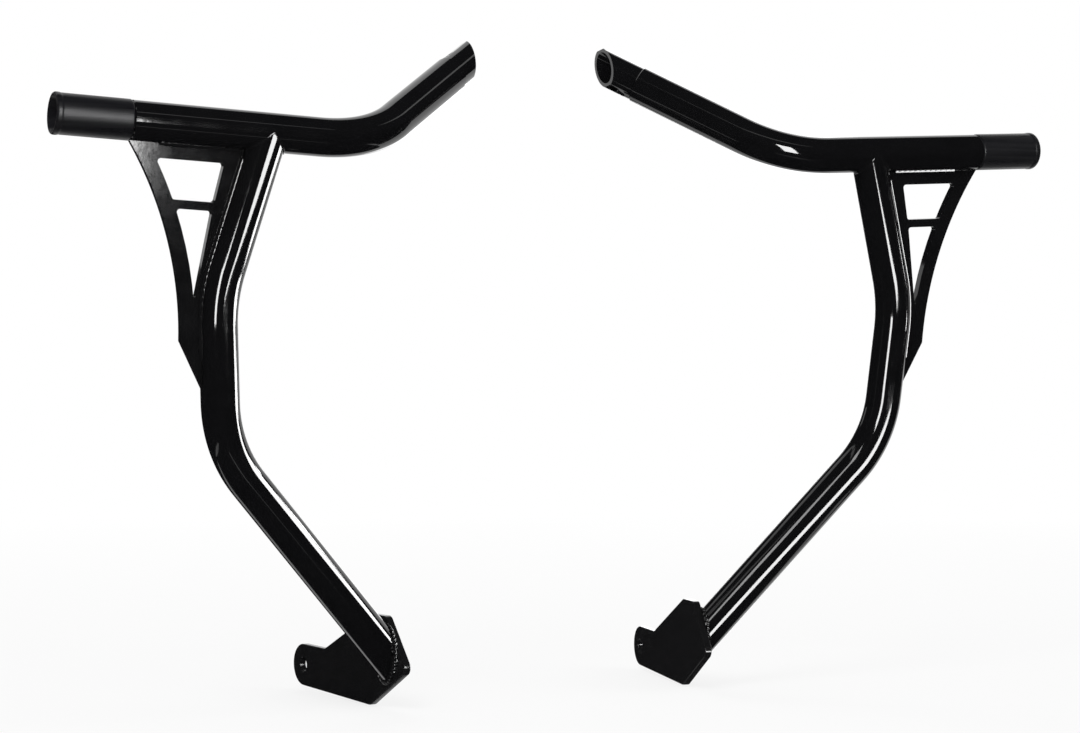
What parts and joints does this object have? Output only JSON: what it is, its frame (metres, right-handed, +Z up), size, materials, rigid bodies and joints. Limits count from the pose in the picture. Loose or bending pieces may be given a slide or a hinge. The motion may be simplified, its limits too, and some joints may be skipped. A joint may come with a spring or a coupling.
{
  "type": "motorcycle crash bars",
  "caption": "Mirror pair of welded tube crash bars with windowed gussets, flat mount plates, milled inner ferrules and plastic end sliders.",
  "frame": {"origin": "on the pair's middle plane, under the middle of its depth, at the height of the mount plates' lowest edge", "axes": "+X to the right bar as seen from the front, +Y to the back of the motorcycle, +Z up"},
  "size_m": [0.9116, 0.2629, 0.5719],
  "materials": {
    "gloss_black": "high gloss black powder coat",
    "plate_black": "satin gloss black powder coat on laser cut plate",
    "weld_black": "black powder coat over weld beads",
    "slider_plastic": "turned black engineering plastic",
    "dark_steel": "black oxide steel",
    "bare_steel": "zinc plated steel"
  },
  "bodies": {
    "root": {"left_top_tube": "gloss_black", "right_top_tube": "gloss_black", "left_down_tube": "gloss_black", "right_down_tube": "gloss_black", "left_end_ferrule": "gloss_black", "right_end_ferrule": "gloss_black", "left_gusset": "plate_black", "right_gusset": "plate_black", "left_mount_plate": "plate_black", "right_mount_plate": "plate_black", "left_slider": "slider_plastic", "right_slider": "slider_plastic", "left_slider_bolt": "dark_steel", "right_slider_bolt": "dark_steel", "left_slider_washer": "bare_steel", "right_slider_washer": "bare_steel", "left_threaded_bung": "bare_steel", "right_threaded_bung": "bare_steel", "left_tube_weld": "weld_black", "right_tube_weld": "weld_black", "left_gusset_weld": "weld_black", "right_gusset_weld": "weld_black", "left_plate_weld": "weld_black", "right_plate_weld": "weld_black"}
  },
  "joints": []
}
